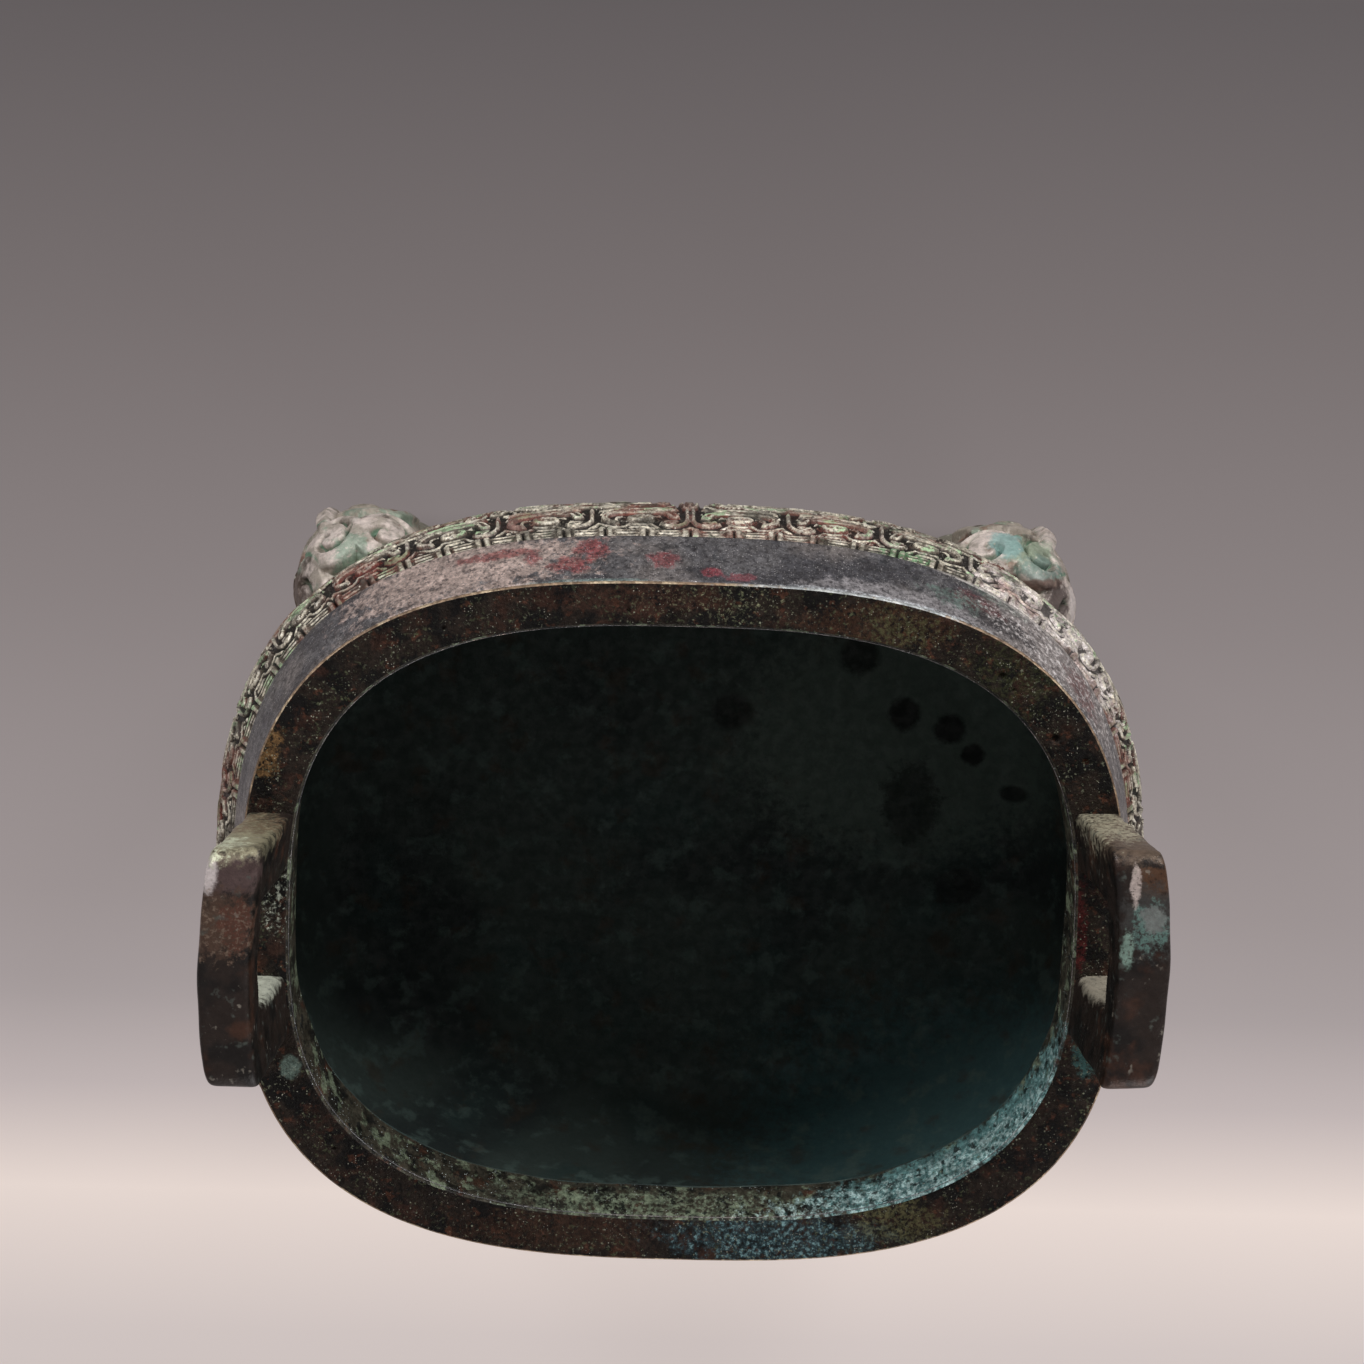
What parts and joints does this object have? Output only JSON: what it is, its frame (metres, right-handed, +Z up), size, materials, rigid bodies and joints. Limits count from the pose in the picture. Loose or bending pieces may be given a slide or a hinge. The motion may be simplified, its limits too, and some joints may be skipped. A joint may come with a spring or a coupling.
{
  "type": "square incense burner",
  "caption": "Cast bronze incense burner: a rounded-square bowl with a flat lip, upright loop ears and masked legs under its corners.",
  "frame": {"origin": "on the floor under the bowl's middle, level with the soles", "axes": "+Z up, out of the mouth; +X along the mouth's long side, towards the right ear; +Y along its short side, towards the back"},
  "size_m": [0.1858, 0.1488, 0.197],
  "materials": {
    "bowl_bronze": "satin",
    "ear_bronze": "satin",
    "leg_bronze": "matte",
    "fired_clay": "matte"
  },
  "bodies": {
    "root": {"vessel_body": "bowl_bronze", "right_ear": "ear_bronze", "left_ear": "ear_bronze", "front_left_leg": "leg_bronze", "front_right_leg": "leg_bronze", "back_left_leg": "leg_bronze", "back_right_leg": "leg_bronze", "front_left_leg_core": "fired_clay", "front_right_leg_core": "fired_clay", "back_left_leg_core": "fired_clay", "back_right_leg_core": "fired_clay"}
  },
  "joints": []
}
